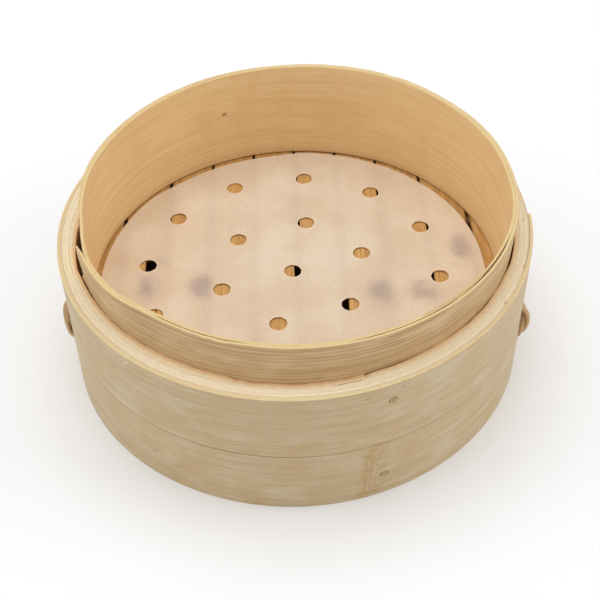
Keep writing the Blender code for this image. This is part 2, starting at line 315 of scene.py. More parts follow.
def add_mesh(name, points, faces, attributes, material, sharp_deg=38.0):
    """A smooth-shaded mesh object from numpy points, without unused points."""
    used = np.zeros(len(points), bool)
    used[np.concatenate([np.asarray(f, int) for f in faces])] = True
    number = np.cumsum(used) - 1
    mesh = bpy.data.meshes.new(name)
    mesh.from_pydata(points[used].tolist(), [], [[int(number[v]) for v in f] for f in faces])
    for key, values in attributes.items():
        layer = mesh.attributes.new(key, "FLOAT_VECTOR", "POINT")
        layer.data.foreach_set("vector", np.ascontiguousarray(values[used], np.float32).ravel())
    mesh.materials.append(material)
    mesh.shade_smooth()
    mesh.set_sharp_from_angle(angle=math.radians(sharp_deg))
    piece = bpy.data.objects.new(name, mesh)
    bpy.context.scene.collection.objects.link(piece)
    return piece


def add_strip(name, strip, place, material, offset):
    """A strip's mesh, with its points put in place by a function of its own coordinates."""
    points = place(strip.along, strip.across, strip.depth).reshape(-1, 3)
    wood = np.stack([strip.along, strip.around, 0.0 * strip.along], axis=-1).reshape(-1, 3)
    wood = wood + np.array(WOOD_STEP) * offset
    edge = np.stack([strip.cut, strip.rind, strip.knot], axis=-1).reshape(-1, 3)
    return add_mesh(name, points, strip.faces(), {"wood": wood, "edge": edge}, material)


def stand_for(piece, node, body):
    """Put a piece in the place of its CAD node: attach it to its body and hide the node."""
    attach(piece, body)
    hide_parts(node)


# ---------------------------------------------------------------- materials

def srgb(red, green, blue):
    """A linear colour from display values of 0 to 255."""
    def linear(value):
        value /= 255.0
        return value / 12.92 if value <= 0.04045 else ((value + 0.055) / 1.055) ** 2.4
    return (linear(red), linear(green), linear(blue), 1.0)


class Surface:
    """A Principled material, with short ways to add the nodes that feed it."""

    def __init__(self, name, roughness=0.6, specular=0.35):
        self.material = bpy.data.materials.new(name)
        self.material.use_nodes = True
        self.tree = self.material.node_tree
        self.shader = self.tree.nodes["Principled BSDF"]
        self.shader.inputs["Roughness"].default_value = roughness
        self.shader.inputs["Specular IOR Level"].default_value = specular

    def node(self, kind, **settings):
        made = self.tree.nodes.new("ShaderNode" + kind)
        for key, value in settings.items():
            setattr(made, key, value)
        return made

    def feed(self, socket, value):
        if isinstance(value, bpy.types.NodeSocket):
            self.tree.links.new(value, socket)
        else:
            socket.default_value = value

    def attribute(self, name):
        return self.node("Attribute", attribute_name=name).outputs["Vector"]

    def parts(self, vector):
        made = self.node("SeparateXYZ")
        self.feed(made.inputs[0], vector)
        return made.outputs[0], made.outputs[1], made.outputs[2]

    def stretched(self, vector, scale, shift=(0.0, 0.0, 0.0)):
        made = self.node("VectorMath", operation="MULTIPLY_ADD")
        self.feed(made.inputs[0], vector)
        made.inputs[1].default_value = scale
        made.inputs[2].default_value = shift
        return made.outputs[0]

    def noise(self, vector, detail=2.0, roughness=0.5, distortion=0.0):
        made = self.node("TexNoise")
        self.feed(made.inputs["Vector"], vector)
        made.inputs["Scale"].default_value = 1.0
        made.inputs["Detail"].default_value = detail
        made.inputs["Roughness"].default_value = roughness
        made.inputs["Distortion"].default_value = distortion
        return made.outputs[0]

    def math(self, operation, first, second=0.0, clamp=False):
        made = self.node("Math", operation=operation, use_clamp=clamp)
        self.feed(made.inputs[0], first)
        self.feed(made.inputs[1], second)
        return made.outputs[0]

    def plus(self, first, second):
        return self.math("ADD", first, second)

    def minus(self, first, second):
        return self.math("SUBTRACT", first, second)

    def times(self, first, second, clamp=False):
        return self.math("MULTIPLY", first, second, clamp)

    def squared_share(self, value, whole):
        return self.math("POWER", self.math("DIVIDE", value, whole), 2.0)

    def remap(self, value, low, high, to_low=0.0, to_high=1.0):
        made = self.node("MapRange", interpolation_type="SMOOTHSTEP")
        self.feed(made.inputs["Value"], value)
        limits = {"From Min": low, "From Max": high, "To Min": to_low, "To Max": to_high}
        for key, number in limits.items():
            self.feed(made.inputs[key], number)
        return made.outputs[0]

    def mix(self, factor, first, second, blend="MIX"):
        made = self.node("Mix", data_type="RGBA", blend_type=blend)
        self.feed(made.inputs[0], factor)
        self.feed(made.inputs[6], first)
        self.feed(made.inputs[7], second)
        return made.outputs[2]

    def tinted(self, colour, tint):
        return self.mix(1.0, colour, tint, "MULTIPLY")

    def finish(self, colour, roughness, height, strength, distance):
        bumped = self.node("Bump")
        bumped.inputs["Strength"].default_value = strength
        bumped.inputs["Distance"].default_value = distance
        self.feed(bumped.inputs["Height"], height)
        self.feed(self.shader.inputs["Normal"], bumped.outputs[0])
        self.feed(self.shader.inputs["Base Color"], colour)
        self.feed(self.shader.inputs["Roughness"], roughness)
        return self.material


# Painted sheen: the pale colour mixed into bamboo in patches, standing in for light glancing off it
PAINTED_SHEEN = srgb(214, 200, 176)


def bamboo(name, pale, deep, cut_inner, cut_outer, rind_from=0.6, rind_span=0.2, contrast=1.0, flecks=0.3,
           line_run=11, line_pitch=1700, cloud_colour=None, clouds=0.5, sheen_colour=PAINTED_SHEEN, marks=()):
    """Split bamboo: fibres run along the strip, sawn edges are paler, and patches of painted sheen lie
    over it.

    marks are single scratches, each as a colour, a centre in wood coordinates,
    a half length, a half width and a slant.
    """
    surface = Surface(name)
    wood = surface.attribute("wood")
    cut, rind, knot = surface.parts(surface.attribute("edge"))
    along, around, _ = surface.parts(wood)

    def noise(scale, shift=(0.0, 0.0, 0.0), **settings):
        """Noise with so many cycles in a metre along and across the fibres."""
        return surface.noise(surface.stretched(wood, scale, shift), **settings)

    fibre = noise((3.0 * line_run, 3000, 0), roughness=0.6)
    line = noise((line_run, line_pitch, 0), (5, 0, 0), detail=2.5, roughness=0.6)
    streak = noise((55, 460, 0), (2, 1, 0), detail=3.0, roughness=0.6)
    cloud = noise((85, 34, 0), (0, 9, 0), detail=3.0, roughness=0.6)
    sheen = noise((60, 150, 0), (0, 4, 0), detail=4.0)
    dash = noise((130, 1700, 0), (0, 0, 7), detail=1.0)
    speck = noise((500, 1500, 0), (3, 3, 0))

    # The fibres' two tones, with clouds, a painted sheen and short dark dashes over them
    tone = surface.plus(surface.times(fibre, 0.25), surface.times(line, 0.50))
    tone = surface.plus(tone, surface.times(streak, 0.25))
    half_range = 0.17 / contrast
    tone = surface.remap(tone, 0.5 - half_range, 0.5 + half_range)
    colour = surface.mix(tone, deep, pale)
    if cloud_colour:
        patch = surface.times(surface.remap(cloud, 0.42, 0.78), surface.remap(line, 0.3, 0.6, 0.6, 1.0))
        colour = surface.mix(surface.times(patch, clouds), colour, cloud_colour)
    # Painted sheen: pale patches that stand in for reflected light
    colour = surface.mix(surface.remap(sheen, 0.48, 0.7, 0.0, 0.35), colour, sheen_colour)
    dark_dash = surface.remap(dash, 0.70, 0.80, 0.0, flecks)
    colour = surface.mix(dark_dash, colour, surface.tinted(colour, srgb(190, 166, 140)))

    # A bamboo node's wrinkles
    wrinkle = noise((1300, 260, 0), (1, 0, 2), distortion=0.9)
    wrinkle = surface.times(surface.remap(wrinkle, 0.42, 0.55), surface.remap(wrinkle, 0.70, 0.57))
    scar = surface.times(wrinkle, knot, clamp=True)
    warm = surface.times(surface.remap(speck, 0.35, 0.65, 0.25, 0.6), knot, clamp=True)
    colour = surface.mix(warm, colour, surface.tinted(colour, srgb(250, 240, 216)))
    colour = surface.mix(scar, colour, surface.tinted(colour, srgb(236, 219, 191)))

    # Sawn edges, with the rind's own colour along the outside
    sawn = surface.mix(surface.remap(rind, rind_from, rind_from + rind_span), cut_inner, cut_outer)
    grainy = surface.plus(surface.times(line, 0.6), surface.times(speck, 0.5))
    grainy = surface.remap(grainy, 0.42, 0.68)
    sawn = surface.mix(grainy, surface.tinted(sawn, srgb(246, 238, 228)), sawn)
    frayed = surface.plus(cut, surface.times(surface.minus(fibre, 0.5), 0.5))
    colour = surface.mix(surface.remap(frayed, 0.3, 0.75), colour, sawn)

    for mark_colour, centre, half_length, half_width, slant in marks:
        from_x = surface.minus(along, centre[0])
        from_y = surface.minus(around, centre[1])
        from_y = surface.minus(from_y, surface.times(from_x, slant))
        near_x = surface.squared_share(from_x, half_length)
        near_y = surface.squared_share(from_y, half_width)
        spot = surface.remap(surface.plus(near_x, near_y), 1.3, 0.4)
        colour = surface.mix(surface.times(spot, 0.8), colour, mark_colour)

    height = surface.plus(surface.times(fibre, 0.5), surface.times(line, 0.5))
    height = surface.minus(height, surface.times(scar, 0.6))
    gloss = surface.remap(surface.plus(fibre, cut), 0.3, 1.3, 0.5, 0.78)
    return surface.finish(colour, gloss, height, 0.35, 0.15 * MM)


def end_grain(name):
    """A peg's end: dark vessels scattered in brown bamboo."""
    surface = Surface(name)
    wood = surface.attribute("wood")
    vessels = surface.node("TexVoronoi", feature="F1")
    surface.feed(vessels.inputs["Vector"], surface.stretched(wood, (2600, 3600, 400)))
    vessels.inputs["Scale"].default_value = 1.0
    dots = surface.remap(vessels.outputs["Distance"], 0.25, 0.5)
    stain = surface.noise(surface.stretched(wood, (700, 700, 300)), detail=3.0)
    base = surface.mix(surface.remap(stain, 0.35, 0.65), srgb(168, 140, 100), srgb(196, 168, 124))
    colour = surface.mix(dots, srgb(140, 110, 72), base)
    return surface.finish(colour, surface.remap(stain, 0.3, 0.7, 0.6, 0.8), dots, 0.5, 0.1 * MM)


def cane(name):
    """Brown split cane with a smooth side and long fibres."""
    surface = Surface(name, specular=0.45)
    wood = surface.attribute("wood")
    fibre = surface.noise(surface.stretched(wood, (60, 2600, 2600)), detail=3.0, roughness=0.6)
    stain = surface.noise(surface.stretched(wood, (150, 300, 300)), detail=3.0)
    light = surface.mix(surface.remap(stain, 0.4, 0.62), srgb(200, 164, 118), srgb(218, 188, 146))
    colour = surface.mix(surface.remap(fibre, 0.34, 0.58), srgb(164, 126, 80), light)
    return surface.finish(colour, surface.remap(fibre, 0.3, 0.7, 0.4, 0.6), fibre, 0.6, 0.15 * MM)


def paper(name):
    """Thin steaming paper: faint fibres and mottling, with painted shade over the gaps between slats and
    in patches.
    """
    surface = Surface(name, roughness=0.75, specular=0.25)
    wood = surface.attribute("wood")
    over_gap, shade_patch, rim = surface.parts(surface.attribute("edge"))
    pulp = surface.noise(surface.stretched(wood, (1300, 1300, 1300)), detail=4.0, roughness=0.65)
    mottle = surface.noise(surface.stretched(wood, (55, 55, 55), (4, 0, 0)), detail=4.0)
    colour = surface.mix(surface.remap(mottle, 0.35, 0.65), srgb(225, 203, 176), srgb(233, 215, 191))
    colour = surface.mix(surface.remap(pulp, 0.50, 0.68, 0.0, 0.4), colour, srgb(208, 184, 160))
    # Painted shade: darker over the gaps between slats, where nothing lies close beneath the paper
    colour = surface.mix(surface.times(over_gap, 0.12), colour, srgb(186, 158, 140))
    # Painted shade patches where gaps show through, made uneven by the pulp
    shadow = surface.remap(surface.plus(shade_patch, surface.times(pulp, 0.35)), 0.25, 1.1)
    colour = surface.mix(surface.times(shadow, 0.62), colour, srgb(160, 140, 140))
    colour = surface.mix(surface.times(rim, 0.7), colour, srgb(240, 218, 190))
    return surface.finish(colour, surface.remap(pulp, 0.3, 0.7, 0.62, 0.85), pulp, 0.25, 0.1 * MM)


def studio_floor(name):
    """Almost white card."""
    surface = Surface(name, roughness=0.9, specular=0.1)
    cloud = surface.noise(surface.node("TexCoord").outputs["Object"], detail=2.0)
    colour = surface.mix(surface.remap(cloud, 0.3, 0.7), srgb(249, 249, 249), srgb(251, 251, 251))
    return surface.finish(colour, 0.9, cloud, 0.0, 1 * MM)


SKIN = dict(pale=srgb(208, 186, 149), deep=srgb(182, 156, 116), cut_inner=srgb(228, 208, 170),
            cut_outer=srgb(233, 212, 164), rind_from=0.5, cloud_colour=srgb(192, 160, 112))
CORE = dict(pale=srgb(230, 210, 176), deep=srgb(220, 196, 160), cut_inner=srgb(243, 229, 198),
            cut_outer=srgb(243, 228, 196))
LINING = dict(pale=srgb(230, 190, 136), deep=srgb(212, 168, 112), cut_inner=srgb(232, 194, 144),
              cut_outer=srgb(240, 222, 186), rind_from=0.1, rind_span=0.7)
COLLAR_FACE = dict(pale=srgb(216, 186, 142), deep=srgb(174, 137, 94), cut_inner=srgb(229, 205, 154),
                   cut_outer=srgb(216, 186, 134), rind_from=0.6, cloud_colour=srgb(200, 158, 104))
# The collar's inner face: the same bamboo as its outer face, painted lighter and warmer for the brighter
# light inside the basket
COLLAR_INSIDE = dict(pale=srgb(240, 210, 158), deep=srgb(226, 188, 132), cut_inner=srgb(226, 200, 146),
                     cut_outer=srgb(232, 210, 160), rind_from=0.5, cloud_colour=srgb(228, 186, 128))
SLAT = dict(pale=srgb(220, 172, 104), deep=srgb(184, 134, 72), cut_inner=srgb(210, 162, 98),
            cut_outer=srgb(202, 150, 84))
BATTEN = dict(pale=srgb(212, 176, 124), deep=srgb(190, 148, 96), cut_inner=srgb(216, 184, 136),
              cut_outer=srgb(206, 166, 106))


# ---------------------------------------------------------------- the frame's sizes

def cad_points(node):
    """A CAD node's points, one in each row."""
    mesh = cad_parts[node].data
    points = np.empty(len(mesh.vertices) * 3)
    mesh.vertices.foreach_get("co", points)
    return points.reshape(-1, 3)


def cad_hoop(node):
    """A CAD hoop's inner and outer radius, read from its upper edge, and its lower and upper edge."""
    points = cad_points(node)
    low = points[:, 2].min()
    high = points[:, 2].max()
    top = points[points[:, 2] > high - 0.05 * MM]
    radii = np.hypot(top[:, 0], top[:, 1])
    return radii.min(), radii.max(), low, high


def close_gap(first, second, left):
    """Both faces of a CAD gap moved to its middle, apart from a small gap that is left."""
    middle = (first + second) / 2.0
    return middle + left / 2.0, middle - left / 2.0


def out_of_round(bearing):
    """The hoops aren't true circles."""
    turn = np.radians(bearing)
    slow = 0.10 * MM * np.sin(2 * turn + 1.1)
    return slow + 0.07 * MM * np.sin(3 * turn + 0.4) + 0.04 * MM * np.sin(7 * turn)


def settled(points):
    """Points moved as the collar has pushed the wall's inner layers, and as the wall's foot leans."""
    radius = np.hypot(points[..., 0], points[..., 1])
    bearing = np.degrees(np.arctan2(points[..., 1], points[..., 0]))
    height = points[..., 2]
    lift = np.clip((height - COLLAR_FOOT) / (RIM - COLLAR_FOOT), 0.0, 1.0) ** 3
    lift = lift * np.clip((LINING_OUTER - radius) / (LINING_OUTER - LINING_INNER), 0.0, 1.0)
    dent = np.zeros_like(bearing)
    for start, end, fade, inwards in COLLAR_DENTS:
        dent += on_arc(bearing, start, end, fade) * inwards * lift
    foot = np.clip(1.0 - height / LEDGE, 0.0, 1.0) ** 1.3
    turn = turn_from(bearing, SPRUNG_BEARING)
    bulge = ease(turn, -30.0, -8.0) * (1.0 - ease(turn, -6.0, 5.0))
    bulge = WALL_BULGE * bulge * bump(height, 46 * MM, 51 * MM, 16 * MM)
    held = np.clip((SKIN_INNER - radius) / (SKIN_INNER - LINING_INNER), 0.0, 1.0)
    in_wall = (radius > LINING_INNER - 0.1 * MM) & (height < LEDGE + 0.5 * MM)
    pushed = np.where(in_wall, held, 0.0)
    scale = 1.0 + (bulge * pushed - dent) / np.maximum(radius, 0.01)
    moved = points.copy()
    moved[..., 0] = points[..., 0] * scale + COLLAR_LEAN[0] * lift + FOOT_LEAN[0] * foot
    moved[..., 1] = points[..., 1] * scale + COLLAR_LEAN[1] * lift + FOOT_LEAN[1] * foot
    return moved


def round_the_wall(start, middle_radius):
    """A function that bends a strip's own coordinates round the vertical axis."""
    def place(along, across, depth):
        bearing = start + np.degrees(along / middle_radius)
        radius = depth + out_of_round(bearing)
        turn = np.radians(bearing)
        return settled(np.stack([radius * np.cos(turn), radius * np.sin(turn), across], axis=-1))
    return place


# ---------------------------------------------------------------- hoops

# Degrees between stations along a hoop, and how finely bores and slits are divided along it
STATION = 1.0
BORE_CELLS = 6
SLIT_CELLS = 4


def lap_faces(turned, thickness, lap, recovery, last_tip):
    """Height of a lapped strip's inner and outer faces above its inner radius, as in the CAD model."""
    under_tip = thickness - LAP_GAP - last_tip

    def first_end(turned):
        rising = FIRST_TIP + (under_tip - FIRST_TIP) * turned / lap
        full = np.minimum(thickness, under_tip + (thickness - under_tip) * (turned - lap) / recovery)
        return np.where(turned <= lap, rising, full)

    past = turned - 360.0
    over = first_end(np.maximum(past, 0.0)) + LAP_GAP
    inner = np.where(past >= 0.0, over, over * np.clip((past + STEP_OVER) / STEP_OVER, 0.0, 1.0))
    outer = np.where(turned > 360.0 - STEP_OVER, thickness, first_end(np.minimum(turned, 359.9)))
    return inner, outer


def hoop_lines(start, span, low, high, row_pitch, radius, holes, grooves):
    """Stations along a hoop and rows up it, in metres, with finer lines at holes and grooves."""
    metres = math.radians(1.0) * radius
    count = round(span / STATION)
    stations = [span * i / count * metres for i in range(count + 1)]
    stations = stations[:1] + [0.12 * MM] + stations[1:-1] + [stations[-1] - 0.12 * MM] + stations[-1:]
    if span > 360.0:
        half_step = STEP_OVER / 2.0
        stations = with_lines(stations, (360.0 - half_step) * metres, half_step * metres, 2, 0.3 * MM)
    rows_count = round((high - low) / row_pitch)
    rows = [low + (high - low) * i / rows_count for i in range(rows_count + 1)]
    placed = []
    for bearing, height, half_width, half_height, rounded in holes:
        cells = BORE_CELLS if rounded else SLIT_CELLS
        rows = with_lines(rows, height, half_height, cells if rounded else 2, 0.25 * MM)
        turned = (bearing - start) % 360.0
        while turned < span - 0.5:
            if turned > 0.5:
                stations = with_lines(stations, turned * metres, half_width, cells, 0.45 * MM)
                placed.append((turned * metres, height, half_width, half_height, rounded))
            turned += 360.0
    half_wall = 0.06 * MM
    for bearing, half_width, bottom, top, _ in grooves:
        turned = (bearing - start) % 360.0
        while turned < span:
            for side in (-1.0, 1.0):
                middle = turned * metres + side * (half_width + half_wall)
                stations = with_lines(stations, middle, half_wall, 1, 0.2 * MM)
            turned += 360.0
        for height in (bottom, top):
            if low + 0.4 * MM < height < high - 0.4 * MM:
                rows = with_lines(rows, height, half_wall, 1, 0.2 * MM)
    return stations, rows, placed


def cut_grooves(strip, start, radius, grooves):
    """Sink grooves into a hoop's inner face."""
    bearing = start + np.degrees(strip.along / radius)
    for groove_bearing, half_width, bottom, top, depth in grooves:
        aside = np.abs(np.radians(turn_from(bearing, groove_bearing)) * radius)
        inside = (aside < half_width + 0.02 * MM) & (strip.side < 0.95)
        inside = inside & (strip.across > bottom) & (strip.across < top)
        strip.depth = np.where(inside, np.maximum(strip.depth, depth), strip.depth)


def add_knots(strip, start, radius, knots, seed):
    """Bamboo's nodes: bands of wrinkled, slightly raised wood across the strip."""
    bearing = start + np.degrees(strip.along / radius)
    for knot_bearing, half_width, slant, height, strength in knots:
        middle = (strip.rows[0] + strip.rows[-1]) / 2.0
        aside = turn_from(bearing, knot_bearing) - slant * (strip.across - middle) / MM
        aside += swell(strip.across, 5 * MM, seed) + 0.7 * swell(strip.across, 1.6 * MM, seed + 1)
        band = bump(aside, -half_width, half_width, 1.8)
        wrinkles = 0.6 + 0.4 * grain(strip.along, strip.across, 2.5 * MM, 1.2 * MM, seed + 2)
        strip.knot = np.maximum(strip.knot, strength * band)
        strip.depth += height * band * wrinkles * strip.out


def make_hoop(name, material, layer, z_span, offset, row_pitch, corner, relief,
              laps=None, faces=None, start=None, span=None, holes=(), grooves=(), knots=(),
              uneven=0.06 * MM, shape=None, ragged=(0.0, 0.0)):
    """One bent strip of the wall or the collar, as a fine mesh in place of its CAD node.

    layer is its inner and outer radius, z_span its lower and upper edge, and offset its number in
    the wood's pattern. A strip with laps overlaps itself. Another one needs faces, start and span.
    """
    inner_radius, outer_radius = layer
    low, high = z_span
    if laps:
        start, lap, recovery, last_tip = laps
        span = 360.0 + lap
    middle_radius = (inner_radius + outer_radius) / 2.0
    stations, rows, placed = hoop_lines(start, span, low, high, row_pitch, middle_radius, holes, grooves)
    turned = np.degrees(np.array(stations) / middle_radius)
    if laps:
        inner, outer = lap_faces(turned, outer_radius - inner_radius, lap, recovery, last_tip)
    else:
        inner, outer = faces(turned)
    place = np.array(stations)
    top_waves = 0.6 * swell(place, 17 * MM, offset + 11) + 0.4 * swell(place, 3.5 * MM, offset + 12)
    top = high + uneven * (top_waves - 0.8)
    bottom = low + uneven * (0.3 + 0.3 * swell(place, 13 * MM, offset + 13))
    strip = Strip(stations, rows, bottom, top, inner_radius + inner, inner_radius + outer, corner)
    for hole in placed:
        strip.punch(*hole)
    if ragged[0]:
        strip.ragged_end(False, ragged[0], 1.5 * MM, offset + 14)
    if ragged[1]:
        strip.ragged_end(True, ragged[1], 1.5 * MM, offset + 15)
    add_knots(strip, start, middle_radius, knots, offset + 16)
    strip.relief(relief, offset + 17)
    cut_grooves(strip, start, middle_radius, grooves)
    if shape:
        shape(strip, start + np.degrees(strip.along / middle_radius))
    piece = add_strip(name + "_bamboo", strip, round_the_wall(start, middle_radius), material, offset)
    stand_for(piece, name, "basket")


def upper_lining_faces(turned):
    """The upper lining's last end is thick, blunt and inside. Its first end tapers away outside it."""
    thickness = LINING_OUTER - LINING_INNER
    past_end = 0.40 * MM * (1.0 - ease(turned, 6.0, 27.0))
    taper = past_end + (thickness - 0.28 * MM - past_end) * (1.0 - ease(turned, 4.0, 5.0))
    outer = thickness - 0.30 * MM * ease(turned, 357.0, 359.6)
    return taper, outer


def outer_collar_faces(turned):
    """The outer collar strip's ends don't meet. The first is cut thin from inside, the last tapers."""
    thickness = COLLAR_OUT[1] - COLLAR_OUT[0]
    first_end = 1.0 - np.clip(0.15 + turned / 4.5, 0.0, 1.0)
    last_end = np.clip((350.0 - turned) / 24.0, 0.0, 1.0)
    return (thickness - FIRST_TIP) * first_end, FIRST_TIP + (thickness - FIRST_TIP) * last_end


def rim_crack(bearing, height):
    """How far the collar's two strips have come apart near the rim."""
    near_rim = ease(height, RIM - 9 * MM, RIM - 1 * MM)
    front_right = on_arc(bearing, -74.0, -29.0, 7.0) * (0.75 + 0.25 * swell(bearing, 6.0, 71))
    front_left = on_arc(bearing, -124.0, -106.0, 5.0) * 0.8
    return near_rim * (front_right + front_left)


def chips(strip, bearing, places):
    """Small bites out of the upper edge: bearing, half width in degrees and depth in millimetres."""
    for place, half, depth in places:
        bite = on_arc(bearing, place - half, place + half, 0.5)
        strip.across -= depth * MM * bite * strip.upper_edge * (0.4 + 0.6 * strip.side)


def shape_collar_inner(strip, bearing):
    """Away from the outer strip where they have come apart, and chipped."""
    strip.depth -= 0.20 * MM * rim_crack(bearing, strip.across) * (0.35 + 0.65 * strip.side)
    chips(strip, bearing, ((-90.0, 0.5, 0.15), (-48.0, 0.8, 0.15), (150.0, 1.0, 0.2)))


def shape_collar_outer(strip, bearing):
    """Away from the inner strip at the cracks, sprung out at its first end, and chipped."""
    strip.depth += 0.20 * MM * rim_crack(bearing, strip.across) * (1.0 - strip.side)
    turn = turn_from(bearing, SPRUNG_BEARING)
    sprung = (1.0 - ease(turn, -2.0, 7.0)) * np.where(turn > -3.0, 1.0, 0.0)
    strip.depth += 0.8 * MM * sprung * ease(strip.across, 46 * MM, 61 * MM)
    chips(strip, bearing, ((-113.5, 0.7, 0.45), (-110.6, 0.5, 0.35), (-108.6, 0.9, 0.5)))
    chips(strip, bearing, ((-36.0, 0.6, 0.2), (60.0, 1.2, 0.3)))


def shape_skin_lower(strip, bearing):
    """Its sawn edge hardly shows at the seam."""
    strip.cut *= np.where(strip.end > 0, 0.2, 1.0)


def shape_skin_upper(strip, bearing):
    """Its sawn edge hardly shows at the seam, and its upper edge is chipped."""
    strip.cut *= np.where(strip.end < 0, 0.2, 1.0)
    chips(strip, bearing, ((-33.0, 0.4, 0.1), (140.0, 0.9, 0.2)))


def shape_core_outer(strip, bearing):
    """A nick in the ledge at the right front."""
    nick = on_arc(bearing, -33.8, -33.0, 0.3) * strip.upper_edge * strip.cut
    strip.across -= 0.3 * MM * nick * np.where(strip.side > 0.4, 1.0, 0.0)


def shape_lining_upper(strip, bearing):
    """Torn along the front, left of its last end, split beside the collar's sprung end, and worn."""
    first_end = ease(strip.along, 7.0 * MM, 6.0 * MM) * strip.upper_edge
    strip.across -= 0.05 * MM * first_end
    torn = on_arc(bearing, -104.0, -77.0, 4.0)
    fringe = torn * (0.75 + 0.25 * swell(strip.along, 1.1 * MM, 81)) * strip.upper_edge
    strip.across -= 1.0 * MM * fringe * (1.0 - strip.side)
    near_top = (1.0 - strip.side) * ease(strip.across, LEDGE - 9 * MM, LEDGE - 4 * MM)
    worn = on_arc(bearing, -21.0, -11.0, 5.0) + 0.5 * on_arc(bearing, -44.0, -36.0, 3.0)
    beside = turn_from(bearing, SPRUNG_BEARING)
    split = ease(beside, -12.0, -2.0) * (1.0 - ease(beside, 1.0, 14.0))
    strip.depth += (0.35 * MM * split + 0.45 * MM * worn - 0.15 * MM * torn) * near_top
    strip.depth += 0.10 * MM * swell(strip.along, 2.3 * MM, 82) * near_top


def stitch_ends(name):
    """The two heights at which a stitch goes through the wall."""
    shift_low, shift_high, _ = STITCH_SHIFTS[name]
    return STITCH_LOW + 0.5 * MM + shift_low, STITCH_HIGH - 0.5 * MM + shift_high


def stitch_slits(low, high):
    """The slits that a stitch goes through, for a hoop between two heights."""
    found = []
    for name, bearing in STITCHES.items():
        for height in stitch_ends(name):
            if low < height < high:
                found.append((bearing, height, SLIT_HALF_WIDTH, 0.76 * MM, False))
    return found


def peg_holes(low, high):
    """The bores that pegs go through, for a hoop between two heights."""
    found = []
    for bearing, height, half_width, half_height in PEGS.values():
        if low < height < high:
            found.append((bearing, height, half_width, half_height, True))
    return found


def mark_at(offset, start, radius, bearing, height):
    """A place on a hoop's outer face, in its own wood coordinates."""
    along = math.radians((bearing - start) % 360.0) * radius
    return along + WOOD_STEP[0] * offset, height + WOOD_STEP[1] * offset


def skin_marks():
    """Scratches and specks on the skin hoops: colour, bearing, height, half length and width, slant."""
    radius = (SKIN_INNER + SKIN_OUTER) / 2.0
    found = []
    for name, offset, scratches in (
        ("skin_hoop_upper", 1, (
            (srgb(244, 236, 220), -131.0, 47.0, 1.3, 0.16, 1.1),
            (srgb(156, 136, 108), -75.8, 46.0, 1.5, 0.22, 0.0),
            (srgb(170, 142, 108), -67.5, 46.7, 0.6, 0.40, 0.0),
        )),
        ("skin_hoop_lower", 2, (
            (srgb(116, 98, 76), -120.0, 9.0, 1.6, 0.16, -0.1),
            (srgb(120, 104, 84), -126.0, 11.5, 0.4, 0.25, 0.0),
            (srgb(128, 108, 84), -129.0, 13.5, 0.3, 0.30, 0.0),
        )),
    ):
        for colour, bearing, height, half_length, half_width, slant in scratches:
            centre = mark_at(offset, LAPS[name][0], radius, bearing, height * MM)
            found.append((colour, centre, half_length * MM, half_width * MM, slant))
    return found


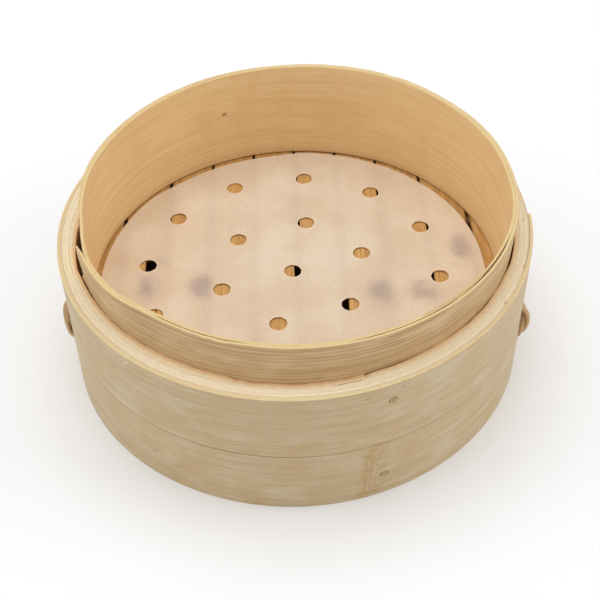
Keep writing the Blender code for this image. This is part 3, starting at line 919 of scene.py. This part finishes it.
def make_hoops():
    """The wall's skin, core and lining, and the collar inside it."""
    core_radius = (CORE_OUT[0] + CORE_OUT[1]) / 2.0
    tick = mark_at(3, LAPS["core_hoop_outer"][0], core_radius, -33.4, LEDGE)
    ticks = ((srgb(112, 78, 40), tick, 0.75 * MM, 0.32 * MM, -0.5),)
    skin = bamboo("skin_bamboo", contrast=0.9, flecks=0.25, line_pitch=2000, clouds=0.8,
                  marks=skin_marks(), **SKIN)
    core = bamboo("core_bamboo", contrast=0.8, flecks=0.2, marks=ticks, **CORE)
    lining = bamboo("lining_bamboo", flecks=0.4, sheen_colour=srgb(232, 196, 146), **LINING)
    collar = bamboo("collar_bamboo", contrast=1.3, line_run=3.5, clouds=0.4,
                    sheen_colour=srgb(226, 200, 160), **COLLAR_FACE)
    # The collar's inner face is painted lighter, a lit copy of the outer face's bamboo
    inside = bamboo("collar_inner_bamboo", contrast=1.25, flecks=0.15, line_run=6, line_pitch=1500,
                    sheen_colour=srgb(240, 208, 158), **COLLAR_INSIDE)
    wall = (0.0, LEDGE)
    upper = (SEAM + SEAM_HALF, LEDGE)
    lower = (0.0, SEAM - SEAM_HALF)
    groove_back = LINING_OUTER - 0.15 * MM
    stitch_grooves = [(b, SLIT_HALF_WIDTH, STITCH_LOW - 0.3 * MM, STITCH_HIGH + 0.3 * MM, groove_back)
                      for b in STITCHES.values()]
    batten_grooves = []
    for batten in ("batten_front", "batten_rear"):
        near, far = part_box(batten)
        tilt = math.degrees(math.asin((near.y + far.y) / 2.0 / LINING_INNER))
        for bearing in (tilt, 180.0 - tilt):
            batten_grooves.append((bearing, 3.9 * MM, near.z - 0.3 * MM, LEDGE, groove_back))

    skin_layer = (SKIN_INNER, SKIN_OUTER)
    upper_knots = ((128.0, 2.0, 0.05, 0.15 * MM, 0.7),)
    make_hoop("skin_hoop_upper", skin, skin_layer, upper, 1,
              row_pitch=0.55 * MM, corner=0.13 * MM, relief=0.03 * MM,
              laps=LAPS["skin_hoop_upper"], holes=peg_holes(*upper) + stitch_slits(*upper),
              knots=upper_knots, shape=shape_skin_upper, ragged=(0.0, 0.25 * MM))
    lower_knots = (
        (-75.0, 0.6, 0.10, 0.06 * MM, 0.8),
        (-72.6, 1.2, 0.10, 0.04 * MM, 0.5),
        (58.0, 1.6, -0.06, 0.15 * MM, 0.8),
    )
    make_hoop("skin_hoop_lower", skin, skin_layer, lower, 2,
              row_pitch=0.55 * MM, corner=0.13 * MM, relief=0.03 * MM,
              laps=LAPS["skin_hoop_lower"], holes=peg_holes(*lower) + stitch_slits(*lower),
              knots=lower_knots, shape=shape_skin_lower, ragged=(0.0, 0.2 * MM))
    for name, layer, offset, shape in (("core_hoop_outer", CORE_OUT, 3, shape_core_outer),
                                       ("core_hoop_inner", CORE_IN, 4, None)):
        make_hoop(name, core, layer, wall, offset,
                  row_pitch=2.2 * MM, corner=0.03 * MM, relief=0.01 * MM,
                  laps=LAPS[name], holes=peg_holes(*wall) + stitch_slits(*wall),
                  uneven=0.05 * MM, shape=shape)

    lining_layer = (LINING_INNER, LINING_OUTER)
    upper = (COLLAR_FOOT, LEDGE)
    make_hoop("lining_hoop_upper", lining, lining_layer, upper, 5,
              row_pitch=1.1 * MM, corner=0.06 * MM, relief=0.02 * MM,
              faces=upper_lining_faces, start=-80.0, span=365.0, holes=peg_holes(*upper),
              grooves=stitch_grooves, uneven=0.08 * MM, shape=shape_lining_upper, ragged=(0.0, 0.9 * MM))
    lower = (0.0, SLAT_BOTTOM - 0.3 * MM)
    make_hoop("lining_hoop_lower", lining, lining_layer, lower, 6,
              row_pitch=0.8 * MM, corner=0.2 * MM, relief=0.03 * MM,
              laps=LAPS["lining_hoop_lower"], holes=peg_holes(0.0, SLAT_BOTTOM),
              grooves=stitch_grooves + batten_grooves, knots=((30.0, 2.5, 0.05, 0.15 * MM, 0.8),))

    ring = (COLLAR_FOOT, RIM)
    make_hoop("collar_hoop_outer", collar, COLLAR_OUT, ring, 7,
              row_pitch=0.6 * MM, corner=0.15 * MM, relief=0.022 * MM,
              faces=outer_collar_faces, start=SPRUNG_BEARING, span=350.0, holes=peg_holes(*ring),
              uneven=0.12 * MM, shape=shape_collar_outer, ragged=(0.3 * MM, 0.3 * MM))
    make_hoop("collar_hoop_inner", inside, COLLAR_IN, ring, 8,
              row_pitch=0.6 * MM, corner=0.15 * MM, relief=0.02 * MM,
              laps=LAPS["collar_hoop_inner"], holes=peg_holes(*ring),
              uneven=0.10 * MM, shape=shape_collar_inner)


# ---------------------------------------------------------------- floor

# Where slats' sides wander: gap centre, place along it, and how far to the right the side of the
# slat at its left and the side of the slat at its right go, in millimetres
WANDERS = (
    (-44.8, 7.2, -5.2, -0.4),
    (-44.8, -16.8, -0.4, -2.7),
    (46.4, -4.4, -1.1, -1.1),
    (46.4, 20.0, 1.2, 1.2),
)

# The two outermost slats are cut back this far for the stitch beside them
STITCH_NOTCH = 1.9 * MM


def slat_side_shift(x_edge, y, is_right_side):
    """How far a slat's side is moved inwards, by planing it by hand and unevenly."""
    bite = 0.10 * MM * swell(y + 7.0 * x_edge, 9 * MM, 91)
    bite += 0.05 * MM * swell(y + 3.0 * x_edge, 2.5 * MM, 92)
    bite = bite - 0.35 * MM - 0.10 * MM * np.clip(1.0 - np.abs(y) / FLOOR_RADIUS, 0.0, 1.0)
    for gap, place, left_side, right_side in WANDERS:
        if abs(x_edge - gap * MM) < 2 * MM:
            near = bump(y - place * MM, -2.5 * MM, 2.5 * MM, 6 * MM)
            bite = bite + near * MM * (-left_side if is_right_side else right_side)
    return bite


def slat_side(edge, inwards, y, reach):
    """Where a slat's waisted side lies. inwards is 1 for its left side and -1 for its right side."""
    waist = SLAT_WAIST * (1.0 - np.clip(np.abs(y) / reach, 0.0, 1.0) ** 2)
    return edge + inwards * (waist + slat_side_shift(edge, y, inwards < 0))


def middle_slat(x_low, x_high):
    """A function that places a slat from wall to wall.

    along is minus Y as a share of the slat's reach, and across runs from its left to its right side.
    """
    def place(along, across, depth):
        part = across / SLAT_UNIT
        x_flat = x_low + (x_high - x_low) * part
        reach = np.sqrt(FLOOR_RADIUS ** 2 - x_flat ** 2)
        y = -along / FLOOR_RADIUS * reach
        left = slat_side(x_low, 1.0, y, reach)
        right = slat_side(x_high, -1.0, y, reach)
        return settled(np.stack([left + (right - left) * part, y, depth], axis=-1))
    return place


def outermost_slat(edge, stitch):
    """A function that places a slat between a straight side and the wall, with a notch for a stitch."""
    outwards = math.copysign(1.0, edge)
    stitch_y = FLOOR_RADIUS * math.sin(math.radians(STITCHES[stitch]))

    def place(along, across, depth):
        part = across / SLAT_UNIT
        y = -along / FLOOR_RADIUS * math.sqrt(FLOOR_RADIUS ** 2 - edge ** 2)
        notch = bump(y, stitch_y - 2 * MM, stitch_y + 2 * MM, 0.4 * MM)
        wall = outwards * (np.sqrt(np.maximum(FLOOR_RADIUS ** 2 - y ** 2, 0.0)) - STITCH_NOTCH * notch)
        left, right = (wall, edge) if outwards < 0 else (edge, wall)
        return settled(np.stack([left + (right - left) * part, y, depth], axis=-1))
    return place


def make_slats():
    """The floor's planks: slightly crowned, waisted, with rounded sides and cut ends."""
    material = bamboo("slat_bamboo", contrast=1.3, flecks=0.5, line_pitch=900,
                      sheen_colour=srgb(220, 180, 118), **SLAT)
    for index, name in enumerate(SLATS):
        near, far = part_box(name)
        cells = 18
        if index == 0:
            place = outermost_slat(far.x, "stitch_left")
        elif index == len(SLATS) - 1:
            place = outermost_slat(near.x, "stitch_right")
        else:
            place = middle_slat(near.x, far.x)
            cells = 24
        stations = np.linspace(-FLOOR_RADIUS, FLOOR_RADIUS, 96)
        rows = np.linspace(0.0, SLAT_UNIT, cells + 1)
        strip = Strip(stations, rows, 0.0, SLAT_UNIT, SLAT_BOTTOM, SLAT_TOP, 0.3 * MM)
        crown = 1.0 - (2.0 * strip.across / SLAT_UNIT - 1.0) ** 2
        strip.depth += strip.side * (0.10 * MM * crown - 0.12 * MM)
        strip.depth += 0.03 * MM * swell(strip.along, 30 * MM, 100 + index)
        strip.relief(0.05 * MM, 110 + 3 * index, fine=1.0 * MM, wide=3.0 * MM)
        piece = add_strip(name + "_bamboo", strip, place, material, 20 + index)
        stand_for(piece, name, "basket")


def make_battens():
    """Two straight laths under the slats, slightly bowed."""
    material = bamboo("batten_bamboo", flecks=0.5, **BATTEN)

    def place(along, across, depth):
        return settled(np.stack([along, across, depth], axis=-1))

    for index, name in enumerate(("batten_front", "batten_rear")):
        near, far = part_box(name)
        stations = np.linspace(near.x, far.x, 90)
        rows = np.linspace(near.y, far.y, 11)
        strip = Strip(stations, rows, near.y, far.y, near.z, far.z, 0.9 * MM)
        strip.across += 0.25 * MM * swell(strip.along, 60 * MM, 130 + index)
        strip.relief(0.07 * MM, 132 + 3 * index, fine=0.9 * MM, wide=2.2 * MM)
        piece = add_strip(name + "_bamboo", strip, place, material, 34 + index)
        stand_for(piece, name, "basket")


# ---------------------------------------------------------------- pegs and stitches

def ring_faces(rings, sides, closed=False):
    """Quads between rings of so many sides each, and from the last ring to the first if closed."""
    faces = []
    for k in range(rings if closed else rings - 1):
        m = (k + 1) % rings
        for i in range(sides):
            j = (i + 1) % sides
            faces.append((k * sides + i, k * sides + j, m * sides + j, m * sides + i))
    return faces


def upright(points, bearing):
    """Points given as distance from the axis, sideways place and height, put at a bearing."""
    turn = math.radians(bearing)
    out = np.array([math.cos(turn), math.sin(turn)])
    across = np.array([-math.sin(turn), math.cos(turn)])
    flat = points[:, :1] * out + points[:, 1:2] * across
    return settled(np.concatenate([flat, points[:, 2:]], axis=1))


def make_pegs():
    """Oval pegs whose ends are worn and slightly rough."""
    material = end_grain("peg_bamboo")
    sides, rings, cap_rings = 28, 10, 6
    angles = np.arange(sides) * 2.0 * math.pi / sides
    for index, (name, (bearing, height, half_width, half_height)) in enumerate(PEGS.items()):
        turn = math.radians(bearing)
        radii = cad_points(name)[:, :2] @ np.array([math.cos(turn), math.sin(turn)])
        inner, outer = radii.min(), radii.max()
        profile = [(inner, (i + 0.5) / cap_rings * 0.9) for i in range(cap_rings)]
        profile += [(inner + (outer - inner) * i / rings, 1.0) for i in range(rings + 1)]
        profile += [(outer + 0.06 * MM, 1.0 - (i + 0.5) / cap_rings * 0.95) for i in range(cap_rings)]
        wobble = 1.0 + 0.015 * np.sin(3 * angles + index) + 0.01 * np.sin(5 * angles)
        rows = []
        wood = []
        for radius, size in profile:
            aside = half_width * size * wobble * np.cos(angles)
            above = half_height * size * wobble * np.sin(angles)
            rough = 0.05 * MM * grain(aside, above, 0.35 * MM, 0.35 * MM, 140 + index)
            depth = radius + (rough if size < 0.99 else 0.0 * rough)
            rows.append(np.stack([depth, aside, height + above], axis=-1))
            wood.append(np.stack([aside + 0.3 * index, above, depth], axis=-1))
        count = len(profile)
        faces = ring_faces(count, sides)
        faces.append(tuple(reversed(range(sides))))
        faces.append(tuple(range((count - 1) * sides, count * sides)))
        placed = upright(np.concatenate(rows), bearing)
        piece = add_mesh(name + "_bamboo", placed, faces, {"wood": np.concatenate(wood)}, material)
        stand_for(piece, name, "basket")


CANE_HALF_WIDTH = 0.84 * MM
CANE_HALF_THICK = 0.74 * MM


def stitch_turn(name, part):
    """Radius, sideways place and height of a stitch's middle line, at a part from 0 to 2 of its turns.

    Each turn goes down outside and up inside. The second lies over the first, and they cross.
    """
    low, high = stitch_ends(name)
    outermost = STITCH_OUTER - CANE_HALF_THICK + STITCH_SHIFTS[name][2]
    inside = STITCH_INNER + 0.5 * MM
    swing = 2.0 * math.pi * part
    outwards = np.maximum(np.sin(swing), 0.0)
    inwards = np.maximum(-np.sin(swing), 0.0)
    wall = (inside + SKIN_OUTER) / 2.0
    over = ease(np.cos(math.pi * (part - 0.25)), 0.5, -0.5)
    reach = SKIN_OUTER + CANE_HALF_THICK + 0.05 * MM
    reach = reach + (outermost - reach) * over * outwards ** 0.6
    radius = wall + (reach - wall) * outwards ** 0.35 - (wall - inside) * inwards ** 0.25
    height = (low + high) / 2.0 + (high - low) / 2.0 * np.cos(swing)
    first = ease(part, 0.08, 0.42)
    second = ease(part, 1.08, 1.42)
    aside = CANE_HALF_WIDTH * (1.0 - 2.0 * first + 2.0 * second)
    return radius, aside, height


def make_stitches():
    """A strip of cane wound twice through the wall, so that its turns cross outside."""
    material = cane("stitch_cane")
    per_turn, turns, sides = 120, 2, 16
    count = per_turn * turns
    part = np.arange(count) / per_turn
    angles = np.arange(sides) * 2.0 * math.pi / sides
    across = np.sign(np.cos(angles)) * np.abs(np.cos(angles)) ** 0.8
    through = np.sign(np.sin(angles)) * np.abs(np.sin(angles)) ** 0.9
    for index, (name, bearing) in enumerate(STITCHES.items()):
        middle = np.stack(stitch_turn(name, part), axis=-1)
        ahead = np.roll(middle, -1, axis=0) - np.roll(middle, 1, axis=0)
        ahead /= np.linalg.norm(ahead, axis=1, keepdims=True)
        flat = np.tile([0.0, 1.0, 0.0], (count, 1))
        flat -= ahead * (flat * ahead).sum(1, keepdims=True)
        flat /= np.linalg.norm(flat, axis=1, keepdims=True)
        normal = np.cross(flat, ahead)
        along = np.concatenate([[0.0], np.cumsum(np.linalg.norm(np.diff(middle, axis=0), axis=1))])
        width = CANE_HALF_WIDTH * (0.96 + 0.06 * swell(along, 3 * MM, 150 + index))
        ripple = 0.05 * MM * grain(along[:, None], across[None, :] * MM, 7 * MM, 0.35 * MM, 152 + index)
        thick = through[None, :] * CANE_HALF_THICK + ripple
        section = flat[:, None, :] * across[None, :, None] * width[:, None, None]
        section = section + normal[:, None, :] * thick[..., None]
        points = (middle[:, None, :] + section).reshape(-1, 3)
        wood = np.stack(np.broadcast_arrays(
            along[:, None] + 0.4 * index, across * MM, through * 0.4 * MM), axis=-1).reshape(-1, 3)
        faces = [f[::-1] for f in ring_faces(count, sides, closed=True)]
        piece = add_mesh(name + "_cane", upright(points, bearing), faces, {"wood": wood}, material,
                         sharp_deg=60.0)
        stand_for(piece, name, "basket")


# ---------------------------------------------------------------- paper liner

LINER_HOLE_RADIUS = 3.0 * MM
LINER_THICKNESS = 0.22 * MM

# How far the sheet's upper side lies above the slats
LINER_LIES = 0.42 * MM

# Rings of evenly spaced holes: the ring's radius, how many, and the first one's bearing
LINER_HOLES = ((49.5 * MM, 12, 24.0), (25.0 * MM, 6, 18.0), (0.0, 1, 0.0))

# Holes punched away from their even place: the hole's number, and how far it is out in X and Y
HOLE_SHIFTS = {6: (-0.4 * MM, 1.7 * MM)}

# Where the sheet was cut too small: from one bearing to another, and by how much
LINER_FLAT = (98.0, 126.0, 1.3 * MM)

# Patches of painted shade on the paper, where gaps beneath show through, in millimetres: X, Y, half width,
# half height and strength
GAP_SHADE_PATCHES = (
    (-50, -4, 5, 8, 1.0),
    (-48, 8, 6, 6, 0.6),
    (-32, -5, 5, 7, 1.0),
    (28, -10, 5, 8, 1.0),
    (42, -11, 5, 6, 1.0),
    (57, 10, 4, 8, 1.0),
)


def liner_hole_centres():
    """Where the sheet is punched, measured from its own centre."""
    centres = []
    for ring, count, first in LINER_HOLES:
        for i in range(count):
            turn = math.radians(first + 360.0 * i / count)
            out_x, out_y = HOLE_SHIFTS.get(len(centres), (0.0, 0.0))
            centres.append((ring * math.cos(turn) + out_x, ring * math.sin(turn) + out_y))
    return centres


def liner_outline(radius, holes):
    """Points and edges for the sheet's cut-out shape: its own edge, its holes and points near them."""
    coords = []
    edges = []

    def add_ring(x, y, size, count, wobble, seed):
        start = len(coords)
        for i in range(count):
            turn = 2.0 * math.pi * i / count
            share = 1.0 if 0 < i < count - 8 else 0.3
            away = size + wobble * share * float(swell(i, count / 13.0, seed))
            if size == radius:
                flat_from, flat_to, short = LINER_FLAT
                away -= short * float(on_arc(math.degrees(turn), flat_from, flat_to, 16.0))
            coords.append(Vector((x + away * math.cos(turn), y + away * math.sin(turn))))
            edges.append((start + i, start + (i + 1) % count))

    add_ring(0.0, 0.0, radius, 260, 0.25 * MM, 160)
    for number, (x, y) in enumerate(holes):
        add_ring(x, y, LINER_HOLE_RADIUS, 48, 0.03 * MM, 161 + number)
        for extra, sides in ((0.3 * MM, 40), (0.8 * MM, 30), (1.4 * MM, 20)):
            for i in range(sides):
                turn = 2.0 * math.pi * (i + 0.5) / sides
                away = LINER_HOLE_RADIUS + extra
                coords.append(Vector((x + away * math.cos(turn), y + away * math.sin(turn))))
    return coords, edges


def hole_distance(x, y, holes):
    """How far a point is from the nearest hole's centre."""
    return min(math.hypot(x - a, y - b) for a, b in holes)


def liner_grid(radius, holes):
    """Slightly uneven points all over the sheet, clear of its edge and its holes."""
    random = np.random.default_rng(170)
    pitch = 2.2 * MM
    steps = int(radius / pitch) + 1
    coords = []
    for i in range(-steps, steps + 1):
        for j in range(-steps, steps + 1):
            x = (i + 0.5 * (j % 2)) * pitch + random.uniform(-0.2, 0.2) * pitch
            y = j * pitch * 0.87 + random.uniform(-0.2, 0.2) * pitch
            clear = hole_distance(x, y, holes) > LINER_HOLE_RADIUS + 1.9 * MM
            if clear and math.hypot(x, y) < radius - 2.5 * MM:
                coords.append(Vector((x, y)))
    return coords


def thick_sheet(kept, count):
    """Faces for both sides of a sheet and for its cut edges, from its upper side's triangles."""
    faces = list(kept)
    faces += [tuple(count + v for v in f[::-1]) for f in kept]
    border = {}
    for f in kept:
        for a, b in zip(f, f[1:] + f[:1]):
            border[(a, b)] = True
    for a, b in border:
        if (b, a) not in border:
            faces.append((b, a, count + a, count + b))
    return faces


def make_liner():
    """A thin round sheet with punched holes that lies, not quite flat, on the slats."""
    near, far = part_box("paper_liner")
    centre = (near + far) / 2.0
    radius = (far.x - near.x) / 2.0
    holes = liner_hole_centres()
    coords, edges = liner_outline(radius, holes)
    coords += liner_grid(radius, holes)
    flat, _, triangles, _, _, _ = geometry.delaunay_2d_cdt(coords, edges, [], 0, 1e-7)
    flat = np.array([tuple(v) for v in flat])
    kept = []
    for face in triangles:
        x, y = flat[list(face)].mean(0)
        if hole_distance(x, y, holes) >= LINER_HOLE_RADIUS - 0.08 * MM:
            kept.append(tuple(face))
    x, y = flat[:, 0], flat[:, 1]
    away = np.hypot(x, y)
    hole_edge = np.min([np.hypot(x - a, y - b) for a, b in holes], axis=0) - LINER_HOLE_RADIUS
    over_gap, shade_patch = paper_shadows(x + centre.x, y + centre.y)
    wave = 0.10 * MM * grain(x, y, 23 * MM, 31 * MM, 171)
    wave = wave + 0.06 * MM * grain(x, y, 9 * MM, 11 * MM, 172)
    uneven = 0.5 + 0.5 * swell(np.degrees(np.arctan2(y, x)), 38.0, 173)
    curl = 0.5 * MM * ease(away, radius - 9 * MM, radius) * uneven
    sag = -0.12 * MM * over_gap
    lip = 0.12 * MM * (1.0 - ease(hole_edge, 0.0, 1.2 * MM))
    z = SLAT_TOP + LINER_LIES + wave + curl + sag + lip
    top = np.stack([x + centre.x, y + centre.y, z], axis=-1)
    bottom = top - np.array([0.0, 0.0, LINER_THICKNESS])
    points = np.concatenate([top, bottom])
    rim = np.clip(1.0 - hole_edge / (0.5 * MM), 0.0, 1.0)
    rim = np.maximum(rim, 0.6 * ease(away, radius - 0.6 * MM, radius))
    edge = np.tile(np.stack([over_gap, shade_patch, rim], axis=-1), (2, 1))
    looks = {"wood": points, "edge": edge}
    piece = add_mesh("paper_liner_sheet", points, thick_sheet(kept, len(top)), looks, paper("liner_paper"))
    stand_for(piece, "paper_liner", "liner")


def paper_shadows(x, y):
    """How much painted shade falls on the paper at a point: over the gaps between slats, and in darker
    patches.
    """
    over_gap = np.zeros_like(x)
    half = 0.7 * MM + SLAT_WAIST * (1.0 - np.clip(np.abs(y) / FLOOR_RADIUS, 0, 1) ** 2)
    for gap in GAP_CENTRES:
        over_gap = np.maximum(over_gap, 1.0 - ease(np.abs(x - gap) - half, -0.6 * MM, 1.0 * MM))
    shade_patch = np.zeros_like(x)
    for patch_x, patch_y, wide, tall, strength in GAP_SHADE_PATCHES:
        spot = ((x / MM - patch_x) / wide) ** 2 + ((y / MM - patch_y) / tall) ** 2
        shade_patch = np.maximum(shade_patch, np.exp(-spot) * strength)
    shade_patch = shade_patch * (0.75 + 0.25 * grain(x, y, 3 * MM, 3 * MM, 180))
    return over_gap, shade_patch


# ---------------------------------------------------------------- studio

def make_floor():
    """A wide pale card just under the basket."""
    size, cells = 3.0, 24
    line = np.linspace(-size, size, cells + 1)
    x, y = np.meshgrid(line, line, indexing="ij")
    points = np.stack([x, y, np.full_like(x, -0.05 * MM)], axis=-1).reshape(-1, 3)
    number = np.arange((cells + 1) ** 2).reshape(cells + 1, cells + 1)
    faces = np.stack([number[:-1, :-1], number[1:, :-1], number[1:, 1:], number[:-1, 1:]], axis=-1)
    quads = faces.reshape(-1, 4).tolist()
    floor = add_mesh("studio_floor", points, quads, {}, studio_floor("floor_card"))


def add_light(name, place, target, size, power, colour):
    """A round lamp that faces a target."""
    lamp = bpy.data.lights.new(name, "AREA")
    lamp.shape = "DISK"
    lamp.size = size
    lamp.energy = power
    lamp.color = colour
    made = bpy.data.objects.new(name, lamp)
    made.location = place
    made.rotation_mode = "QUATERNION"
    made.rotation_quaternion = (Vector(target) - Vector(place)).to_track_quat("-Z", "Y")
    bpy.context.scene.collection.objects.link(made)


def make_studio():
    """Even, nearly white light from all sides, strongest from above."""
    make_floor()
    world = bpy.data.worlds.new("studio")
    world.use_nodes = True
    background = world.node_tree.nodes["Background"]
    background.inputs["Color"].default_value = (0.975, 0.987, 1.0, 1.0)
    background.inputs["Strength"].default_value = 0.68
    bpy.context.scene.world = world
    white = (0.985, 0.993, 1.0)
    add_light("overhead", (-0.08, 0.12, 0.95), (0.0, 0.0, 0.02), 0.9, 3.1, white)
    add_light("left_side", (-1.05, 0.0, 0.50), (0.0, 0.0, 0.03), 0.8, 2.0, white)
    add_light("right_side", (1.05, -0.1, 0.50), (0.0, 0.0, 0.03), 0.8, 2.8, white)
    bpy.context.scene.view_settings.view_transform = "Standard"


def make_camera():
    """Looks down at 45 degrees with the camera's own small roll."""
    elevation = math.radians(44.99)
    roll = math.radians(-2.12)
    distance = 0.3867
    target = Vector((0.0009, 0.0, 0.0125))
    back = Vector((0.0, -math.cos(elevation), math.sin(elevation)))
    right = Vector((1.0, 0.0, 0.0))
    up = back.cross(right)
    rolled_right = math.cos(roll) * right + math.sin(roll) * up
    rolled_up = back.cross(rolled_right)
    turn = Matrix((rolled_right, rolled_up, back)).transposed().to_4x4()
    lens = bpy.data.cameras.new("camera")
    lens.lens = 67.08
    lens.sensor_width = 36.0
    lens.clip_start = 0.01
    camera = bpy.data.objects.new("camera", lens)
    camera.matrix_world = Matrix.Translation(target + back * distance) @ turn
    bpy.context.scene.collection.objects.link(camera)
    bpy.context.scene.camera = camera


# ---------------------------------------------------------------- build

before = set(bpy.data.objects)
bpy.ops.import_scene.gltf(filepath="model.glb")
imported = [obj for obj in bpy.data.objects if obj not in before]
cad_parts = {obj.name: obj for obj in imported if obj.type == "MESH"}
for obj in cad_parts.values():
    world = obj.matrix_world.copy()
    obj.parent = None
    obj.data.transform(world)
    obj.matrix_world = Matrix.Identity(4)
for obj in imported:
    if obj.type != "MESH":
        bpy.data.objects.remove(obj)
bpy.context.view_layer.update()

# The strips fill the CAD model's gaps between layers, apart from this
THIN = 0.015 * MM

skin_cad = cad_hoop("skin_hoop_upper")
core_out_cad = cad_hoop("core_hoop_outer")
core_in_cad = cad_hoop("core_hoop_inner")
lining_cad = cad_hoop("lining_hoop_upper")
collar_out_cad = cad_hoop("collar_hoop_outer")
collar_in_cad = cad_hoop("collar_hoop_inner")
SKIN_OUTER = skin_cad[1]
SKIN_INNER, core_out_face = close_gap(skin_cad[0], core_out_cad[1], THIN)
core_out_back, core_in_face = close_gap(core_out_cad[0], core_in_cad[1], THIN)
core_in_back, LINING_OUTER = close_gap(core_in_cad[0], lining_cad[1], THIN)
CORE_OUT = (core_out_back, core_out_face)
CORE_IN = (core_in_back, core_in_face)
collar_out_back, collar_in_face = close_gap(collar_out_cad[0], collar_in_cad[1], THIN)
COLLAR_OUT = (collar_out_back, collar_out_cad[1])
LINING_INNER = collar_out_cad[1] + 0.13 * MM
COLLAR_IN = (collar_in_cad[0], collar_in_face)
LEDGE = skin_cad[3]
COLLAR_FOOT = collar_in_cad[2]
RIM = collar_in_cad[3]
SEAM = (skin_cad[2] + cad_hoop("skin_hoop_lower")[3]) / 2.0
slat_low, slat_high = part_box("floor_slat_05")
SLAT_BOTTOM = slat_low.z
SLAT_TOP = slat_high.z
SLAT_UNIT = slat_high.x - slat_low.x
FLOOR_RADIUS = float(np.hypot(*cad_points("floor_slat_05")[:, :2].T).max())
SLAT_WAIST = 1.0 * MM
SLATS = sorted(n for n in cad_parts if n.startswith("floor_slat"))
GAP_CENTRES = [(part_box(left)[1].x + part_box(right)[0].x) / 2.0 for left, right in zip(SLATS, SLATS[1:])]
STITCH_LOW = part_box("stitch_right")[0].z
STITCH_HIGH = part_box("stitch_right")[1].z
stitch_radii = np.hypot(*cad_points("stitch_right")[:, :2].T)
STITCH_OUTER = float(stitch_radii.max())
STITCH_INNER = float(stitch_radii.min())

make_camera()
make_studio()
make_hoops()
make_slats()
make_battens()
make_pegs()
make_stitches()
make_liner()
